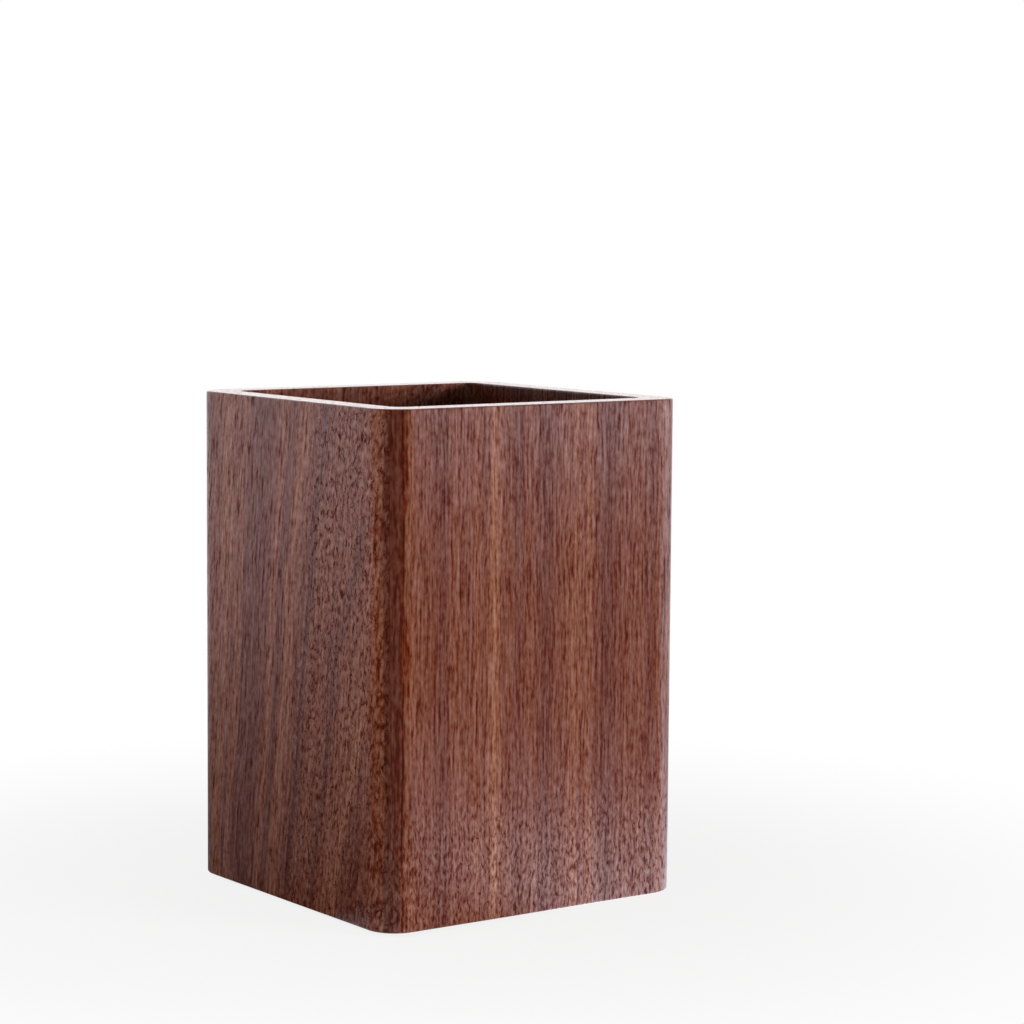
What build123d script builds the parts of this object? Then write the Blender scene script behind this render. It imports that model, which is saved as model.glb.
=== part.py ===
"""Square hardwood pen cup: four mitred wall boards, corner splines, a housed base board and felt feet.

Frame: +Z up, origin on the desk surface under the middle of the cup, front wall towards -Y.
All sizes are in millimetres.
"""

from build123d import *
from math import sqrt
import os

# Overall form
cup_width = 80.0  # outside, across the flats, the same in X and Y
wall_height = 112.0  # one wall board, end to end
wall_thickness = 7.0
outer_corner_radius = 7.0  # rounded over after the glue-up
inner_corner_radius = 2.5
rim_ease = 0.5  # sanded edge round the mouth, outside and inside
foot_ease = 0.6  # sanded edge round the lower end of the walls, outside

# Base board, housed in a groove that runs round the walls
groove_offset = 5.0  # from the lower end of the walls up to the groove
groove_height = 4.0
groove_depth = 3.0
base_recess = 1.0  # underside of the base above the lower end of the walls
base_side_gap = 0.25  # room for the board to swell between the walls
tongue_end_gap = 0.4  # room for the tongue at the bottom of the groove
tongue_top_gap = 0.2  # the tongue rests on the lower side of the groove

# Loose splines across the four mitres, stopped so that neither end shows
spline_thickness = 2.5
spline_width = 8.0  # half of it in each of the two boards
spline_cover = 1.8  # wood left between the inner corner and the spline
spline_end_gap = 0.2  # glue room at each edge and end of a spline
spline_above_groove = 5.0
spline_below_rim = 14.0

# Felt feet under the base
felt_diameter = 11.0
felt_proud = 0.8  # how far the felt stands out below the walls
felt_inset = 14.0  # centre of a foot from the inside of the walls

# Levels and half sizes that follow from the above
wall_bottom = felt_proud
rim_level = wall_bottom + wall_height
half_outside = cup_width / 2
half_inside = half_outside - wall_thickness
groove_bottom = wall_bottom + groove_offset
groove_top = groove_bottom + groove_height
groove_reach = half_inside + groove_depth
base_underside = wall_bottom + base_recess
base_top = groove_top - tongue_top_gap

# Distances from the cup's axis along a diagonal, to the two ends of a mitre
mitre_inner_end = (half_inside - inner_corner_radius) * sqrt(2) + inner_corner_radius
spline_centre = mitre_inner_end + spline_cover + spline_thickness / 2
spline_bottom = groove_top + spline_above_groove
spline_top = rim_level - spline_below_rim

# Turn about +Z that brings the front to each side, and the diagonal of each corner, in degrees
sides = {"front": 0, "right": 90, "back": 180, "left": 270}
corners = {"front_right": -45, "back_right": 45, "back_left": 135, "front_left": 225}

# Working allowances of the modelling, none of which shows
mitre_cut_overrun = 1.0  # how far the mitre cut passes both ends of a board
match_tolerance = 1e-4  # for finding an edge loop by its place


def prism(sketch, bottom, top):
    """A sketch drawn on XY, raised from one level to another."""
    return extrude(Pos(0, 0, bottom) * sketch, amount=top - bottom)


def rounded_square(half_size, radius):
    return RectangleRounded(2 * half_size, 2 * half_size, radius)


def edges_at(solid, level, reach):
    """The closed loop of edges at one level whose straight runs lie at a given reach from the axis."""
    loops = [wire for face in solid.faces().filter_by(Axis.Z) for wire in face.wires()]
    at_level = [wire for wire in loops if abs(wire.bounding_box().min.Z - level) < match_tolerance]
    return next(
        wire.edges() for wire in at_level if abs(wire.bounding_box().max.X - reach) < match_tolerance
    )


def spline_blank(gap):
    """One spline across the mitre on the +X diagonal, with round ends as a router leaves its slot.

    The gap is the glue room that a slot has beyond the spline at its edges and ends.
    """
    length = spline_top - spline_bottom + 2 * gap
    middle = (spline_top + spline_bottom) / 2
    outline = Rot(0, 0, 90) * SlotOverall(length, spline_thickness)
    on_mitre = Plane.XZ * Pos(spline_centre, middle) * outline
    return extrude(on_mitre, amount=spline_width / 2 + gap, both=True)


def make_wall_ring():
    """The four walls as one ring, with rounded corners, eased edges, base groove and spline slots."""
    section = rounded_square(half_outside, outer_corner_radius) - rounded_square(
        half_inside, inner_corner_radius
    )
    ring = prism(section, wall_bottom, rim_level)
    rim_edges = edges_at(ring, rim_level, half_outside) + edges_at(ring, rim_level, half_inside)
    ring = fillet(rim_edges, rim_ease)
    ring = fillet(edges_at(ring, wall_bottom, half_outside), foot_ease)
    ring -= prism(Rectangle(2 * groove_reach, 2 * groove_reach), groove_bottom, groove_top)
    for diagonal in corners.values():
        ring -= Rot(0, 0, diagonal) * spline_blank(spline_end_gap)
    return ring


def make_wall(ring, turn):
    """One wall board: the part of the ring between the two mitre planes of its side."""
    reach = cup_width
    wedge = make_face(Polyline((0, 0), (-reach, -reach), (reach, -reach), close=True))
    cut = prism(wedge, wall_bottom - mitre_cut_overrun, rim_level + mitre_cut_overrun)
    return ring & Rot(0, 0, turn) * cut


def make_base_board():
    """The base: a full-thickness board whose lower edge is rebated to leave the tongue at the top."""
    body = prism(
        rounded_square(half_inside - base_side_gap, inner_corner_radius - base_side_gap),
        base_underside,
        groove_bottom,
    )
    tongue_half = groove_reach - tongue_end_gap
    tongue = prism(Rectangle(2 * tongue_half, 2 * tongue_half), groove_bottom, base_top)
    return body + tongue


def make_felt_foot(diagonal):
    """One felt disc near a corner, stuck to the underside of the base."""
    distance = (half_inside - felt_inset) * sqrt(2)
    disc = Pos(distance, 0) * Circle(felt_diameter / 2)
    return Rot(0, 0, diagonal) * prism(disc, 0, base_underside)


def make_parts():
    """Every sub-part by name, in place."""
    ring = make_wall_ring()
    made = {f"{side}_wall": make_wall(ring, turn) for side, turn in sides.items()}
    made["base_board"] = make_base_board()
    for corner, diagonal in corners.items():
        made[f"mitre_spline_{corner}"] = Rot(0, 0, diagonal) * spline_blank(0)
        made[f"felt_foot_{corner}"] = make_felt_foot(diagonal)
    return made


os.makedirs("parts", exist_ok=True)
for name, shape in make_parts().items():
    export_step(shape, f"parts/{name}.step")
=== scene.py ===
"""Looks of a square walnut pen cup: the wood board by board, felt feet, a pale floor and soft studio light.

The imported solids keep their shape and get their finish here. Sizes inside the wood are in millimetres, as a
joiner would read them off the board. Whatever is placed in the scene is in metres. A range is a pair: where
something starts, and where it is full.
"""
import bmesh
import bpy
from collections import namedtuple
from math import cos, hypot, pi, radians, sin
from mathutils import Matrix, Vector


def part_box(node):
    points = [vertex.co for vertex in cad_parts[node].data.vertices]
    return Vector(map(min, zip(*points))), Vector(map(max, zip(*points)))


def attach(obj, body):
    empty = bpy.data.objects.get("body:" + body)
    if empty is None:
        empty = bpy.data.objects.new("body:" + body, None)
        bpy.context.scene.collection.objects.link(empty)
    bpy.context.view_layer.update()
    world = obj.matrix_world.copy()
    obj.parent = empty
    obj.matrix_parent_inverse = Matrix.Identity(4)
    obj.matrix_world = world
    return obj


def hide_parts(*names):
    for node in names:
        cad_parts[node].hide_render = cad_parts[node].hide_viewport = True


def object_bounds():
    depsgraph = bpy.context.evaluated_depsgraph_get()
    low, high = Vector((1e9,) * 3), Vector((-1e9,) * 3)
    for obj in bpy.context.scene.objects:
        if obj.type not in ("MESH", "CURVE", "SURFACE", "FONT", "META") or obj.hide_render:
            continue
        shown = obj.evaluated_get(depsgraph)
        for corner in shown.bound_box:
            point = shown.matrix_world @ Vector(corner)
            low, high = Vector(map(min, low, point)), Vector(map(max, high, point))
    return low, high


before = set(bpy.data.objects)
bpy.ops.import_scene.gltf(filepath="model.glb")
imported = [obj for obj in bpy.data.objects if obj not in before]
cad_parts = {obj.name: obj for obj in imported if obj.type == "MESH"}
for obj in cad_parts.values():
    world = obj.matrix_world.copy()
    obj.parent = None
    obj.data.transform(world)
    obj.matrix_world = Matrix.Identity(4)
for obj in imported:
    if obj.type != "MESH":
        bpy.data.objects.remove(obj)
cad_low, cad_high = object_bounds()

mm = 0.001
cup_half_width = cad_high.x / mm
wall_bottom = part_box("front_wall")[0].z / mm
rim_level = cad_high.z / mm

# Camera, where the photograph was taken from
camera_azimuth = -35.87
camera_elevation = 5.76
camera_roll = 0.415
camera_distance = 0.6905
camera_lens = 105.27
sensor_width = 36.0
aim_right = 0.01777  # from the middle of the cup's lower end to the middle of the picture
aim_up = 0.08466

# Light: an even fill, and soft lamps. Three of them light the wood, and the last shows in its gloss alone.
fill_level = 0.22
neutral = (1, 1, 1)
Lamp = namedtuple("Lamp", "name place target size power spread colour in_gloss")
soft_boxes = (
    Lamp("right_lamp", (0.60, -1.04, 0.18), (0, 0, 0.05), (0.5, 0.2), 12.5, 180, neutral, False),
    Lamp("upper_left_lamp", (-0.16, 0, 0.10), (-0.04, 0, 0.10), (0.16, 0.05), 0.065, 140, neutral, False),
    Lamp(
        "corner_lamp", (-0.13, -0.13, 0.012), (-0.04, -0.04, 0.03), (0.06, 0.02), 0.03, 180, neutral, False
    ),
    Lamp(
        "sheen_lamp", (0.131, -0.154, 0.125), (0.02, 0, 0.125), (0.24, 0.08), 0.12, 180, (0.8, 1, 1.25), True
    ),
)

# Floor and backdrop as they show in the gloss of the wood. A direction is told by its part to the right and
# its part ahead, as the photograph was taken, and floor by its distance from the middle of the cup.
backdrop_distance = 1.5
cool_haze = (0.90, 0.99, 1.16)  # colour of the light from the sides and the front
warm_haze = (1.56, 1.47, 1.48)  # colour and strength of the light from behind the cup
behind_range = (0.2, 0.9)
left_side_range = (-0.35, -0.90)
left_ahead_range = (-0.5, 0.2)
left_floor_range = (0.10, 1.10)
left_near_level = 0.19
left_far_gain = 0.90
right_side_range = (0.35, 0.90)
right_least_level = 0.05
lit_floor_range = (0.24, 0.05)
lit_floor_level = 3.5
lit_floor_drop = 3.2
lit_floor_drop_range = (-0.28, 0.1)
beside_range = (-0.25, 0.05)
beside_level = 1.8
beside_drop = 1.1
beside_drop_range = (0.3, 0.6)
foot_floor_range = (0.16, 0.07)
foot_ahead_range = (-0.75, -0.95)
foot_level = 0.6
front_least_level = 0.03

# Floor, which is nearly white to the camera by the cup, and white farther off
pure_white = (1, 1, 1, 1)
floor_size = 12.0
floor_white_range = (0.05, 0.22)
floor_white_near = 0.84
floor_speckle = (900, 900, 900)  # specks to a metre
floor_dark = (0.86, 0.86, 0.86, 1)
floor_pale = (0.90, 0.90, 0.90, 1)
floor_bounce = (0.80, 0.80, 0.80, 1)

# Wood colours, linear light
heart_dark = (0.086, 0.0160, 0.0058, 1)
heart_brown = (0.128, 0.0298, 0.0122, 1)
heart_red = (0.171, 0.0465, 0.0205, 1)
heart_gold = (0.255, 0.0915, 0.0470, 1)
heart_purple = (0.122, 0.0330, 0.0215, 1)
# Dark heartwood on the rounded front-left corner, made darker still as painted shade
corner_heart_and_shade = (0.096, 0.0182, 0.0060, 1)
amber_heart = (0.205, 0.0540, 0.0205, 1)
pore_colour = (0.040, 0.0100, 0.0045, 1)
# End grain colours, paler and pinker than oiled end grain is: a painted highlight of the sheen along the rim,
# over the rings of the end grain
end_grain_dark = (0.160, 0.052, 0.034, 1)
end_grain_pale_highlight = (0.380, 0.150, 0.105, 1)
glue_colour = (0.020, 0.009, 0.006, 1)
heart_by_tone = ((0.10, heart_dark), (0.38, heart_brown), (0.56, heart_red), (0.90, heart_gold))
end_grain_highlight_by_tone = ((0.15, end_grain_dark), (0.85, end_grain_pale_highlight))
middle_tone = 0.5

# How far the grain moves red, green and blue, as a share of the red: dark grain is redder than pale grain
grain_strength = (0.95, 0.54, 0.43)

# How one board was cut from its log. The pith lies at pith_across and pith_depth from the middle of the
# board's outer face, in millimetres, and goes deeper by pith_dive for each millimetre of height. The fibres
# wander by wander and lean by lean. Where the figure is curly the flecks get short, from curl_start to
# curl_end, which are measured across the fibres if curl_across is true and along them if not.
Cut = namedtuple(
    "Cut",
    "seed pith_across pith_depth pith_dive wander lean curl_across curl_start curl_end"
    " fleck_width fine_length calm_figure curly_figure squiggle",
)
wall_cuts = {
    "front_wall": Cut(3.0, -150.0, 60.0, 0.01, 0.9, 0.0, False, 40.0, 16.0, 0.65, 1.8, 0.95, 1.15, 0.25),
    "right_wall": Cut(17.0, 120.0, 45.0, 0.03, 3.0, 0.02, False, 30.0, 10.0, 0.70, 1.1, 1.0, 1.0, 0.20),
    "back_wall": Cut(29.0, -40.0, 70.0, 0.06, 4.0, -0.05, True, 10.0, -20.0, 0.80, 1.3, 0.9, 1.0, 0.60),
    "left_wall": Cut(41.0, 45.0, 50.0, 0.10, 4.0, 0.12, True, -8.0, 4.0, 0.90, 1.7, 0.95, 1.10, 0.80),
}
base_cut = Cut(67.0, 25.0, 60.0, 0.02, 4.0, 0.0, True, 60.0, 90.0, 0.80, 1.2, 1.0, 1.0, 0.0)

# Turn about +Z that brings each wall's outer face to the front, in degrees
wall_turns = {"front_wall": 0, "right_wall": -90, "back_wall": -180, "left_wall": -270}

# Streaks that stand out on a board at half its height: place across it, half width and change of tone
streaks_on_board = {
    "front_wall": (
        (-33.8, 1.2, 0.12),
        (-25.0, 1.0, -0.16),
        (-17.0, 0.8, 0.10),
        (-12.4, 0.8, 0.26),
        (-2.0, 6.0, -0.08),
        (13.6, 1.0, 0.18),
        (19.0, 1.8, -0.14),
        (24.0, 9.0, -0.08),
    ),
    "right_wall": ((-20.0, 3.0, -0.12), (-6.0, 1.0, 0.18), (16.0, 4.0, -0.10)),
    "back_wall": ((-22.0, 1.5, 0.14), (4.0, 2.5, -0.16), (20.0, 1.2, 0.14)),
    "left_wall": (
        (-28.0, 3.0, 0.20),
        (-19.0, 0.8, -0.26),
        (-15.0, 4.0, -0.12),
        (-8.0, 1.2, 0.16),
        (-4.5, 1.3, -0.34),
        (0.0, 2.0, 0.16),
        (6.5, 0.7, -0.38),
        (20.0, 0.8, -0.24),
        (22.0, 14.0, 0.07),
        (36.0, 4.0, 0.26),
    ),
}
streak_range = (1.6, 0.2)  # in half widths of the streak

# Wood of another colour along the edge of a board: where across the board it starts and is full, and how much
EdgeBand = namedtuple("EdgeBand", "start full colour share")
edge_bands = {
    # The dark bands by the mitre of the rounded front-left corner, on the front and the left board, are dark
    # heartwood and painted shade
    "front_wall": (EdgeBand(-35.5, -36.0, corner_heart_and_shade, 0.90),),
    "left_wall": (EdgeBand(29.0, 35.0, amber_heart, 0.70), EdgeBand(36.9, 37.4, corner_heart_and_shade, 0.85)),
}

# Thin dark lines along those edges, in the way of the streaks
lines_on_board = {"front_wall": ((-35.8, 0.30, -0.55),), "left_wall": ((37.1, 0.35, -0.40),)}

# Grain sizes that all the boards share, across and along the grain, in the unit of the noise. The flecks have
# a length alone, because their width is the board's own.
wander_grain = (26.0, 60.0)
flutter_grain = (4.0, 14.0)
band_width = 7.0
band_detail = 3.0
band_roughness = 0.6
hue_grain = (2.6, 45.0)
streak_grain = (0.70, 22.0)
long_fleck = 6.5
short_fleck = 1.7
short_fleck_twist = 0.8
squiggle_grain = (1.25, 2.3)
squiggle_twist = 0.6
squiggle_gap_grain = (1.7, 1.8)
end_dot_grain = (0.45, 8.0)
noise_middle = 0.5
noise_spread = 0.09  # standard deviation of the noise, by which the grain is brought to unit spread
noise_roughness = 0.55

# What each kind of grain adds to the board's seed, so that no two have the same noise
flutter_seed = 5
streak_seed = 11
long_fleck_seed = 23
short_fleck_seed = 37
fine_fleck_seed = 53
hue_seed = 71
squiggle_seed = 97
squiggle_gap_seed = 113
end_dot_seed = 131

# Share of each of these in the change of tone or of place
flutter_share = 0.08
band_share = 0.7
streak_share = 0.12
fleck_share = 0.13
fine_share = 0.125
end_band_share = 1.2
end_dot_share = 0.11

# Share of each of these in the colour, and the range in which it comes in
purple_share = 0.50
purple_range = (0.2, 2.0)
squiggle_range = (0.34, 0.07)
squiggle_gap_range = (-0.4, 0.5)
pore_share = 0.35
pore_range = (-0.9, -2.2)
# Share of the end grain colour with its painted highlight, and how far a face turns up or down to take it
end_grain_highlight_share = 0.85
end_grain_range = (0.5, 0.95)
glue_share = 0.6
glue_range = (0.14, 0.04)  # from the mitre

# Satin oil on the walnut. Dark grain is more open and takes less polish than pale grain.
walnut_roughness = 0.35
streak_roughness = 0.015
pore_roughness = 0.20
end_grain_polish = 0.18
walnut_shine = 0.5
grain_shine = 0.65
pore_shine_loss = 0.12
least_shine = 0.05
inside_shine_loss = 0.4
inside_range = (5.5, 6.8)
grain_relief = 0.5
walnut_bump = 0.35
walnut_bump_depth = 0.05
walnut_refraction = 1.48

# Splines of plain hardwood, with the grain across the mitre so that they don't split along it
spline_pale = (0.47, 0.31, 0.185, 1)
spline_brown = (0.36, 0.22, 0.120, 1)
spline_grain = (0.5, 9.0)
spline_grain_share = 0.2
spline_roughness = 0.68
spline_grain_roughness = 0.03
spline_bump = 0.5
spline_bump_depth = 0.06
spline_refraction = 1.45
corner_diagonals = {"front_right": -45, "back_right": 45, "back_left": 135, "front_left": 225}

# Felt feet: rounded discs whose edge and underside are not quite even
felt_edge_radius = 0.45
felt_edge_steps = 4
felt_unevenness = 0.07
felt_segments = 72
felt_edge_waves = (3, 7, 17)  # of each kind round the disc
felt_sag_waves = 5
felt_wave_shift = Vector((200, 300))  # by the place of the disc, so that no two are alike
felt_sag_shift = 100
felt_inner_ring = 0.5  # of the radius
felt_inner_sag = 0.4
felt_black = (0.028, 0.026, 0.024, 1)
felt_grey = (0.085, 0.079, 0.072, 1)
felt_by_tone = ((0.1, felt_black), (0.9, felt_grey))
felt_fibre = (0.12, 0.9)
felt_fibre_seeds = (7.0, 19.0)
felt_fibre_twist = 1.5
felt_fibre_share = 0.18
felt_clump_share = 0.4
felt_least_tone = 0.2
felt_roughness = 0.95
felt_sheen = 0.5
felt_sheen_roughness = 0.6
felt_sheen_tint = (0.5, 0.48, 0.45, 1)
felt_bump = 0.8
felt_bump_depth = 0.12


class Graph:
    """Short calls for the nodes of one material. A value is a number, a colour or another node's output."""

    def __init__(self, tree):
        self.tree = tree
        tree.nodes.clear()

    def add(self, kind, inputs, output=0, **settings):
        node = self.tree.nodes.new("ShaderNode" + kind)
        for key, value in settings.items():
            setattr(node, key, value)
        for key, value in inputs.items():
            self.feed(node.inputs[key], value)
        return node.outputs[output]

    def feed(self, socket, value):
        if isinstance(value, bpy.types.NodeSocket):
            self.tree.links.new(value, socket)
        else:
            socket.default_value = value

    def math(self, operation, *values):
        return self.add("Math", dict(enumerate(values)), operation=operation)

    def total(self, *values):
        result = values[0]
        for value in values[1:]:
            result = self.math("ADD", result, value)
        return result

    def scaled(self, value, factor, offset=0.0):
        return self.math("MULTIPLY_ADD", value, factor, offset)

    def vector(self, x, y, z):
        return self.add("CombineXYZ", {"X": x, "Y": y, "Z": z})

    def split(self, vector):
        node = self.tree.nodes.new("ShaderNodeSeparateXYZ")
        self.feed(node.inputs[0], vector)
        return tuple(node.outputs)

    def noise(self, vector, detail=2.0, roughness=0.5, output="Fac", distortion=0.0):
        inputs = {
            "Vector": vector,
            "Scale": 1.0,
            "Detail": detail,
            "Roughness": roughness,
            "Distortion": distortion,
        }
        return self.add("TexNoise", inputs, output)

    def noise_along(self, value, detail=2.0, roughness=0.5):
        inputs = {"W": value, "Scale": 1.0, "Detail": detail, "Roughness": roughness}
        return self.add("TexNoise", inputs, noise_dimensions="1D")

    def rise(self, value, start, end):
        """Goes smoothly from 0 to 1 as the value goes from start to end."""
        inputs = {"Value": value, "From Min": start, "From Max": end}
        return self.add("MapRange", inputs, interpolation_type="SMOOTHSTEP")

    def blend(self, share, first, second):
        """Two colours mixed. Inputs 6 and 7 of the node are its colours, and output 2 is the mix."""
        node = self.tree.nodes.new("ShaderNodeMix")
        node.data_type = "RGBA"
        self.feed(node.inputs["Factor"], share)
        self.feed(node.inputs[6], first)
        self.feed(node.inputs[7], second)
        return node.outputs[2]

    def blend_values(self, share, first, second):
        """Two numbers mixed, which are inputs 2 and 3 of the node."""
        return self.add("Mix", {"Factor": share, 2: first, 3: second})

    def ramp(self, value, stops):
        node = self.tree.nodes.new("ShaderNodeValToRGB")
        elements = node.color_ramp.elements
        while len(elements) < len(stops):
            elements.new(1.0)
        for element, (position, colour) in zip(elements, stops):
            element.position = position
            element.color = colour
        self.feed(node.inputs[0], value)
        return node.outputs[0]

    def surface(self, shader):
        output = self.tree.nodes.new("ShaderNodeOutputMaterial")
        self.tree.links.new(shader, output.inputs["Surface"])


def new_material(name):
    material = bpy.data.materials.new(name)
    material.use_nodes = True
    return material, Graph(material.node_tree)


def ring_radius_at(cut, across, depth, height):
    """Distance from the pith of a point in a board, without the wander of the grain."""
    return hypot(across - cut.pith_across, depth - cut.pith_depth - cut.pith_dive * height)


def stretched(g, place, size, seed):
    """A place in the unit of noise of a given size across and along the grain."""
    across, depth, height = place
    width, length = size
    return g.vector(
        g.scaled(across, 1 / width, seed), g.scaled(depth, 1 / width), g.scaled(height, 1 / length)
    )


def grain_noise(g, place, size, seed, detail=1.0, distortion=0.0):
    """Noise stretched along the grain, about 0 and of about unit spread."""
    value = g.noise(stretched(g, place, size, seed), detail, noise_roughness, distortion=distortion)
    return g.scaled(value, 1 / noise_spread, -noise_middle / noise_spread)


def shaded(g, colour, tone):
    """A wood colour made paler or darker by a tone, but no darker than an open pore."""
    amount = g.math("MULTIPLY", tone, g.split(colour)[0])
    shift = g.vector(*(g.scaled(amount, strength) for strength in grain_strength))
    moved = g.add("VectorMath", {0: colour, 1: shift}, operation="ADD")
    return g.add("VectorMath", {0: moved, 1: pore_colour[:3]}, operation="MAXIMUM")


def with_streaks(g, tone, cut, ring_radius, streaks):
    """A tone changed along streaks, each of which follows the rings through a place on the board."""
    middle = (wall_bottom + rim_level) / 2
    start, full = streak_range
    for place, half_width, change in streaks:
        radius = ring_radius_at(cut, place, 0.0, middle)
        reach = abs(ring_radius_at(cut, place + half_width, 0.0, middle) - radius)
        off_centre = g.math("ABSOLUTE", g.math("SUBTRACT", ring_radius, radius))
        streak = g.rise(off_centre, start * reach, full * reach)
        tone = g.math("ADD", tone, g.scaled(streak, change))
    return tone


def board_place(g, turn):
    """A point's place across, into and along a board. The turn brings it upright, with its face forward."""
    mapping = {
        "Vector": g.add("TexCoord", {}, "Object"),
        "Location": (0, cup_half_width, 0),
        "Rotation": turn,
        "Scale": (1 / mm, 1 / mm, 1 / mm),
    }
    return g.split(g.add("Mapping", mapping))


def wandering_rings(g, place, cut):
    """A point's place across the slowly wandering grain, and its distance from the pith."""
    across, depth, height = place
    wander = g.split(g.noise(stretched(g, place, wander_grain, cut.seed), output="Color"))
    flutter = grain_noise(g, place, flutter_grain, cut.seed + flutter_seed)
    grain_across = g.total(
        across, g.scaled(wander[0], cut.wander, -cut.wander / 2), g.scaled(flutter, flutter_share)
    )
    grain_depth = g.math("ADD", depth, g.scaled(wander[1], cut.wander, -cut.wander / 2))
    from_pith_across = g.math("SUBTRACT", grain_across, cut.pith_across)
    from_pith_depth = g.math("SUBTRACT", grain_depth, g.scaled(height, cut.pith_dive, cut.pith_depth))
    ring_radius = g.math(
        "SQRT",
        g.math(
            "ADD",
            g.math("MULTIPLY", from_pith_across, from_pith_across),
            g.math("MULTIPLY", from_pith_depth, from_pith_depth),
        ),
    )
    return grain_across, ring_radius


def fine_grain(g, fibre, cut):
    """Long streaks, flecks, and the tone of all the grain, with squiggles where the figure is curly."""
    leaning, _, height = fibre
    curl = g.rise(leaning if cut.curl_across else height, cut.curl_start, cut.curl_end)
    long_streaks = grain_noise(g, fibre, streak_grain, cut.seed + streak_seed, detail=2.0)
    long_flecks = grain_noise(g, fibre, (cut.fleck_width, long_fleck), cut.seed + long_fleck_seed)
    short_flecks = grain_noise(
        g, fibre, (cut.fleck_width, short_fleck), cut.seed + short_fleck_seed, distortion=short_fleck_twist
    )
    flecks = g.blend_values(curl, long_flecks, short_flecks)
    fine_flecks = grain_noise(g, fibre, (cut.fleck_width, cut.fine_length), cut.seed + fine_fleck_seed)
    contour = grain_noise(g, fibre, squiggle_grain, cut.seed + squiggle_seed, distortion=squiggle_twist)
    drawn = g.rise(g.math("ABSOLUTE", contour), *squiggle_range)
    gap_noise = grain_noise(g, fibre, squiggle_gap_grain, cut.seed + squiggle_gap_seed)
    broken = g.math("MULTIPLY", drawn, g.rise(gap_noise, *squiggle_gap_range))
    squiggles = g.math("MULTIPLY", broken, curl)
    figure = g.scaled(curl, cut.curly_figure - cut.calm_figure, cut.calm_figure)
    both_flecks = g.math("ADD", g.scaled(flecks, fleck_share), g.scaled(fine_flecks, fine_share))
    grain = g.total(
        g.scaled(long_streaks, streak_share),
        g.math("MULTIPLY", both_flecks, figure),
        g.scaled(squiggles, -cut.squiggle),
    )
    return long_streaks, flecks, grain


def satin_oil(g, wood, depth, long_streaks, pores, grain, end_grain):
    """The shader of oiled walnut: smooth on the sanded ends, dull in pores, dark grain and inside the cup."""
    roughness = g.total(
        walnut_roughness,
        g.scaled(long_streaks, streak_roughness),
        g.scaled(pores, pore_roughness),
        g.scaled(end_grain, -end_grain_polish),
    )
    polish = g.math("SUBTRACT", g.scaled(grain, grain_shine, walnut_shine), g.scaled(pores, pore_shine_loss))
    kept_inside = g.scaled(g.rise(depth, *inside_range), -inside_shine_loss, 1.0)
    shine = g.math("MULTIPLY", g.math("MAXIMUM", polish, least_shine), kept_inside)
    relief = g.math("SUBTRACT", g.scaled(grain, grain_relief), pores)
    bump = g.add("Bump", {"Strength": walnut_bump, "Distance": walnut_bump_depth * mm, "Height": relief})
    return g.add(
        "BsdfPrincipled",
        {
            "Base Color": wood,
            "Roughness": roughness,
            "IOR": walnut_refraction,
            "Specular IOR Level": g.blend_values(end_grain, shine, walnut_shine),
            "Normal": bump,
        },
    )


def walnut_board(name, turn, cut, streaks=(), edges=(), lines=(), mitred=False):
    """Satin oiled walnut as a solid block of wood: rings, streaks, flecks, pores and end grain."""
    material, g = new_material(name)
    place = board_place(g, turn)
    across, depth, height = place
    grain_across, ring_radius = wandering_rings(g, place, cut)
    fibre = (g.math("SUBTRACT", grain_across, g.scaled(height, cut.lean)), depth, height)

    # Broad tone: bands and the streaks that stand out, with a drift of hue and other wood along the edges,
    # where the dark band on the rounded front-left corner is partly painted shade
    bands = g.noise_along(g.scaled(ring_radius, 1 / band_width, cut.seed), band_detail, band_roughness)
    tone = g.scaled(bands, band_share, middle_tone - band_share / 2)
    tone = with_streaks(g, tone, cut, ring_radius, streaks)
    wood = g.ramp(tone, heart_by_tone)
    hue = grain_noise(g, fibre, hue_grain, cut.seed + hue_seed, detail=2.0)
    wood = g.blend(g.scaled(g.rise(hue, *purple_range), purple_share), wood, heart_purple)
    for edge in edges:
        share = g.scaled(g.rise(grain_across, edge.start, edge.full), edge.share)
        wood = g.blend(share, wood, edge.colour)

    # Fine grain on top of it, and open pores, which are short dark dashes along the grain
    long_streaks, flecks, grain = fine_grain(g, fibre, cut)
    grain = with_streaks(g, grain, cut, ring_radius, lines)
    wood = shaded(g, wood, grain)
    pores = g.rise(flecks, *pore_range)
    wood = g.blend(g.scaled(pores, pore_share), wood, pore_colour)

    # End grain shows the rings as arcs and the pores as dots, painted pale and pink: a painted highlight of
    # the sheen along the rim
    dots = grain_noise(g, fibre, end_dot_grain, cut.seed + end_dot_seed)
    end_bands = g.scaled(bands, end_band_share, middle_tone - end_band_share / 2)
    end_wood_with_highlight = g.ramp(g.math("ADD", end_bands, g.scaled(dots, end_dot_share)), end_grain_highlight_by_tone)
    normal = {"Vector": g.add("NewGeometry", {}, "Normal"), "Rotation": turn}
    facing = g.split(g.add("Mapping", normal, vector_type="VECTOR"))
    end_grain = g.rise(g.math("ABSOLUTE", facing[2]), *end_grain_range)
    wood = g.blend(g.scaled(end_grain, end_grain_highlight_share), wood, end_wood_with_highlight)

    # Hairline of glue at the mitres
    if mitred:
        half_width_here = g.math("SUBTRACT", cup_half_width, depth)
        to_mitre = g.math("SUBTRACT", half_width_here, g.math("ABSOLUTE", across))
        wood = g.blend(g.scaled(g.rise(to_mitre, *glue_range), glue_share), wood, glue_colour)

    g.surface(satin_oil(g, wood, depth, long_streaks, pores, grain, end_grain))
    return material


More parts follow.
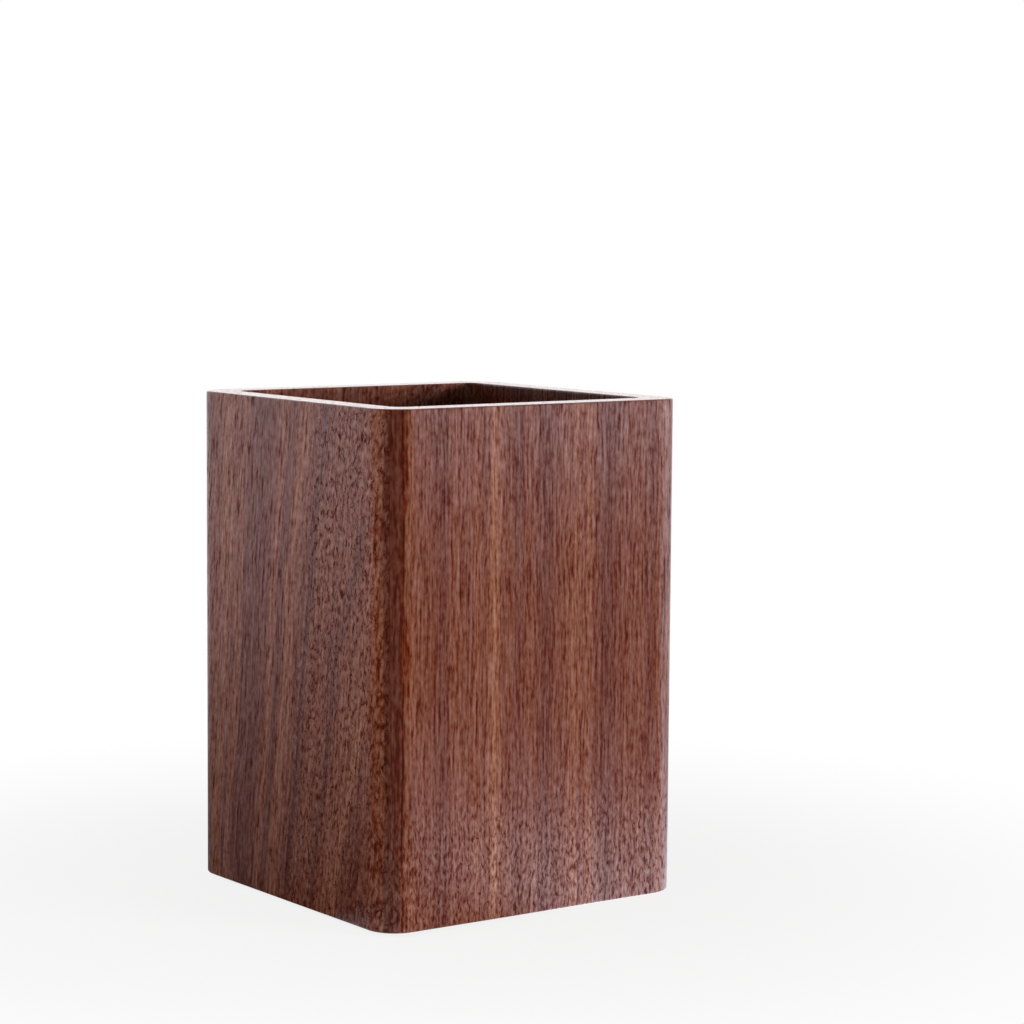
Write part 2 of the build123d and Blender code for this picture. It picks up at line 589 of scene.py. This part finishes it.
def finish_boards():
    """Walnut on the four walls, grain upright, and on the base, grain from left to right."""
    for board, turn in wall_turns.items():
        upright = (0, 0, radians(turn))
        walnut = walnut_board(
            board + "_walnut",
            upright,
            wall_cuts[board],
            streaks_on_board[board],
            edge_bands.get(board, ()),
            lines_on_board.get(board, ()),
            mitred=True,
        )
        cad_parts[board].data.materials[0] = walnut
    lying = (0, -radians(90), -radians(90))
    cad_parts["base_board"].data.materials[0] = walnut_board("base_walnut", lying, base_cut)


def finish_splines():
    """Plain sawn hardwood, its grain across the mitre."""
    for corner, diagonal in corner_diagonals.items():
        material, g = new_material(f"spline_{corner}_wood")
        grain_up = Matrix.Rotation(radians(90), 3, "X") @ Matrix.Rotation(-radians(diagonal), 3, "Z")
        mapping = {
            "Vector": g.add("TexCoord", {}, "Object"),
            "Rotation": grain_up.to_euler(),
            "Scale": (1 / mm, 1 / mm, 1 / mm),
        }
        place = g.split(g.add("Mapping", mapping))
        grain = grain_noise(g, place, spline_grain, float(diagonal), detail=3.0)
        tone = g.scaled(grain, spline_grain_share, middle_tone)
        wood = g.ramp(tone, ((0.0, spline_brown), (1.0, spline_pale)))
        bump = g.add("Bump", {"Strength": spline_bump, "Distance": spline_bump_depth * mm, "Height": grain})
        shader = g.add(
            "BsdfPrincipled",
            {
                "Base Color": wood,
                "Roughness": g.scaled(grain, spline_grain_roughness, spline_roughness),
                "IOR": spline_refraction,
                "Normal": bump,
            },
        )
        g.surface(shader)
        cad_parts[f"mitre_spline_{corner}"].data.materials[0] = material


def felt():
    """Dense dark felt: matted fibres that lie two ways, clumps, a soft sheen and a fuzzy relief."""
    material, g = new_material("dark_felt")
    place = g.split(
        g.add("VectorMath", {0: g.add("TexCoord", {}, "Object"), "Scale": 1 / mm}, operation="SCALE")
    )
    turned = (place[2], place[0], place[1])
    fibre_ways = [
        grain_noise(g, way, felt_fibre, seed, detail=2.0, distortion=felt_fibre_twist)
        for way, seed in zip((place, turned), felt_fibre_seeds)
    ]
    fibres = g.math("MAXIMUM", *fibre_ways)
    clumps = g.noise(g.vector(*place))
    tone = g.total(g.scaled(fibres, felt_fibre_share, felt_least_tone), g.scaled(clumps, felt_clump_share))
    colour = g.ramp(tone, felt_by_tone)
    bump = g.add("Bump", {"Strength": felt_bump, "Distance": felt_bump_depth * mm, "Height": fibres})
    shader = g.add(
        "BsdfPrincipled",
        {
            "Base Color": colour,
            "Roughness": felt_roughness,
            "Sheen Weight": felt_sheen,
            "Sheen Roughness": felt_sheen_roughness,
            "Sheen Tint": felt_sheen_tint,
            "Normal": bump,
        },
    )
    g.surface(shader)
    return material


def felt_disc(name, node, material):
    """A felt disc in the space of its plain solid, with soft edges that are a little uneven."""
    low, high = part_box(node)
    centre = (low + high) / 2
    radius = (high.x - low.x) / 2
    edge = felt_edge_radius * mm
    uneven = felt_unevenness * mm
    shifts = (felt_wave_shift.x * centre.x, felt_wave_shift.y * centre.y, 0.0)
    edge_limit = len(felt_edge_waves)
    sag_limit = edge_limit + 1
    mesh = bmesh.new()

    def ring(inset, level, sag):
        """One ring of points, pulled in and lifted a little by a few waves round the disc."""
        points = []
        for step in range(felt_segments):
            angle = 2 * pi * step / felt_segments
            wave = sum(sin(count * angle + shift) for count, shift in zip(felt_edge_waves, shifts))
            sag_wave = sin(felt_sag_waves * angle + felt_sag_shift * centre.y)
            reach = radius - inset - uneven * (edge_limit + wave) / (2 * edge_limit)
            lift = sag * uneven * (sag_limit + sag_wave + wave) / (2 * sag_limit)
            points.append(mesh.verts.new((reach * cos(angle), reach * sin(angle), level + lift - centre.z)))
        return points

    quarter = [radians(90) * step / felt_edge_steps for step in range(felt_edge_steps + 1)]
    rings = [ring(radius * felt_inner_ring, low.z, felt_inner_sag)]
    rings += [ring(edge * (1 - sin(turn)), low.z + edge * (1 - cos(turn)), cos(turn)) for turn in quarter]
    rings += [ring(edge * (1 - cos(turn)), high.z - edge * (1 - sin(turn)), 0.0) for turn in quarter]
    for lower, upper in zip(rings, rings[1:]):
        for step in range(felt_segments):
            following = (step + 1) % felt_segments
            mesh.faces.new((lower[step], lower[following], upper[following], upper[step]))
    mesh.faces.new(reversed(rings[0]))
    mesh.faces.new(rings[-1])
    data = bpy.data.meshes.new(name)
    mesh.to_mesh(data)
    mesh.free()
    for polygon in data.polygons:
        polygon.use_smooth = True
    data.materials.append(material)
    disc = bpy.data.objects.new(name, data)
    disc.location = centre
    bpy.context.scene.collection.objects.link(disc)
    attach(disc, "root")
    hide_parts(node)


def felt_feet():
    material = felt()
    for corner in corner_diagonals:
        felt_disc(f"felt_disc_{corner}", f"felt_foot_{corner}", material)


finish_boards()
finish_splines()
felt_feet()


def gloss_light(g, direction, distance):
    """Light that shows in the gloss of the wood, in a direction and at a distance over the floor.

    To the left the floor is dim near the cup and pale far off. To the right it is bright near the cup, where
    the lamp lights it, and the room straight beside the cup is bright. In front it is dim, apart from a
    little light at the foot of the cup. Behind the cup is the bright backdrop.
    """
    azimuth = radians(camera_azimuth)
    ahead = (-sin(azimuth), cos(azimuth), 0.0)
    right = (cos(azimuth), sin(azimuth), 0.0)
    ahead_part = g.add("VectorMath", {0: direction, 1: ahead}, "Value", operation="DOT_PRODUCT")
    right_part = g.add("VectorMath", {0: direction, 1: right}, "Value", operation="DOT_PRODUCT")

    # Which side a direction belongs to
    on_left = g.math("MULTIPLY", g.rise(right_part, *left_side_range), g.rise(ahead_part, *left_ahead_range))
    on_right = g.rise(right_part, *right_side_range)
    not_aside = g.rise(g.math("ABSOLUTE", right_part), *reversed(right_side_range))
    behind = g.math("MULTIPLY", g.rise(ahead_part, *behind_range), not_aside)
    in_front = g.math("SUBTRACT", 1.0, g.total(on_left, on_right, behind))

    # How bright each side is
    left_level = g.scaled(g.rise(distance, *left_floor_range), left_far_gain, left_near_level)
    lit_floor = g.scaled(g.rise(ahead_part, *lit_floor_drop_range), -lit_floor_drop, lit_floor_level)
    near_right = g.math("MULTIPLY", g.rise(distance, *lit_floor_range), lit_floor)
    room = g.scaled(g.rise(ahead_part, *beside_drop_range), -beside_drop, beside_level)
    beside = g.math("MULTIPLY", g.rise(ahead_part, *beside_range), room)
    right_level = g.total(near_right, beside, right_least_level)
    at_foot = g.math("MULTIPLY", g.rise(distance, *foot_floor_range), g.rise(ahead_part, *foot_ahead_range))
    front_level = g.scaled(at_foot, foot_level, front_least_level)

    sides = g.total(
        g.math("MULTIPLY", on_left, left_level),
        g.math("MULTIPLY", on_right, right_level),
        g.math("MULTIPLY", in_front, front_level),
    )
    cool = g.add("VectorMath", {0: cool_haze, "Scale": sides}, operation="SCALE")
    warm = g.add("VectorMath", {0: warm_haze, "Scale": behind}, operation="SCALE")
    return g.add("VectorMath", {0: cool, 1: warm}, operation="ADD")


def ray_kinds(g):
    """1 for the camera's own rays, and 1 for the rays that show in gloss."""
    kinds = [g.add("LightPath", {}, f"Is {kind} Ray") for kind in ("Camera", "Glossy", "Transmission")]
    return kinds[0], g.math("MAXIMUM", kinds[1], kinds[2])


def pale_floor():
    """A large pale floor that keeps the shadow near the cup and fades to the white background."""
    bpy.ops.mesh.primitive_plane_add(size=floor_size)
    floor = bpy.context.object
    floor.name = "floor"
    material, g = new_material("pale_floor")
    place = g.add("TexCoord", {}, "Object")
    away = g.add("VectorMath", {0: place}, "Value", operation="LENGTH")
    toward = g.add("VectorMath", {0: place}, operation="NORMALIZE")
    camera_ray, gloss_ray = ray_kinds(g)
    whiteness = g.scaled(g.rise(away, *floor_white_range), 1 - floor_white_near, floor_white_near)
    fade = g.math("ADD", gloss_ray, g.math("MULTIPLY", camera_ray, whiteness))
    seen = g.blend(gloss_ray, pure_white, gloss_light(g, toward, away))
    speckle = g.noise(g.add("VectorMath", {0: place, 1: floor_speckle}, operation="MULTIPLY"))
    pale = g.ramp(speckle, ((0.0, floor_dark), (1.0, floor_pale)))
    matt = g.add("BsdfDiffuse", {"Color": g.blend(camera_ray, floor_bounce, pale)})
    white = g.add("Emission", {"Color": seen, "Strength": 1.0})
    g.surface(g.add("MixShader", {0: fade, 1: matt, 2: white}))
    floor.data.materials.append(material)


def soft_box(lamp):
    """A lamp with a wide soft face, which either lights the wood or shows in its gloss."""
    data = bpy.data.lights.new(lamp.name, "AREA")
    data.shape = "RECTANGLE"
    data.size, data.size_y = lamp.size
    data.energy = lamp.power
    data.spread = radians(lamp.spread)
    data.color = lamp.colour
    box = bpy.data.objects.new(lamp.name, data)
    box.location = lamp.place
    box.rotation_mode = "QUATERNION"
    box.rotation_quaternion = (Vector(lamp.target) - Vector(lamp.place)).to_track_quat("-Z", "Y")
    box.visible_camera = False
    box.visible_glossy = lamp.in_gloss
    box.visible_diffuse = not lamp.in_gloss
    bpy.context.scene.collection.objects.link(box)


def studio():
    """A backdrop that is white to the camera, its light in the gloss, an even fill and the soft lamps."""
    world = bpy.data.worlds.new("studio")
    bpy.context.scene.world = world
    world.use_nodes = True
    g = Graph(world.node_tree)
    direction = g.add("TexCoord", {}, "Generated")
    camera_ray, gloss_ray = ray_kinds(g)
    other_ray = g.math("SUBTRACT", 1.0, g.math("MAXIMUM", camera_ray, gloss_ray))
    seen = g.blend(gloss_ray, pure_white, gloss_light(g, direction, backdrop_distance))
    level = g.scaled(other_ray, fill_level - 1.0, 1.0)
    light = g.add("Background", {"Color": seen, "Strength": level})
    output = world.node_tree.nodes.new("ShaderNodeOutputWorld")
    world.node_tree.links.new(light, output.inputs["Surface"])
    for lamp in soft_boxes:
        soft_box(lamp)


def camera():
    azimuth, elevation = radians(camera_azimuth), radians(camera_elevation)
    back = Vector((sin(azimuth) * cos(elevation), -cos(azimuth) * cos(elevation), sin(elevation)))
    right = Vector((cos(azimuth), sin(azimuth), 0))
    right.rotate(Matrix.Rotation(radians(camera_roll), 3, back))
    up = back.cross(right)
    data = bpy.data.cameras.new("camera")
    data.lens = camera_lens
    data.sensor_width = sensor_width
    view = bpy.data.objects.new("camera", data)
    foot = Vector((0, 0, wall_bottom * mm))
    view.location = foot + right * aim_right + up * aim_up + back * camera_distance
    view.rotation_mode = "QUATERNION"
    view.rotation_quaternion = Matrix((right, up, back)).transposed().to_quaternion()
    bpy.context.scene.collection.objects.link(view)
    bpy.context.scene.camera = view


pale_floor()
studio()
camera()
bpy.context.scene.view_settings.view_transform = "Standard"
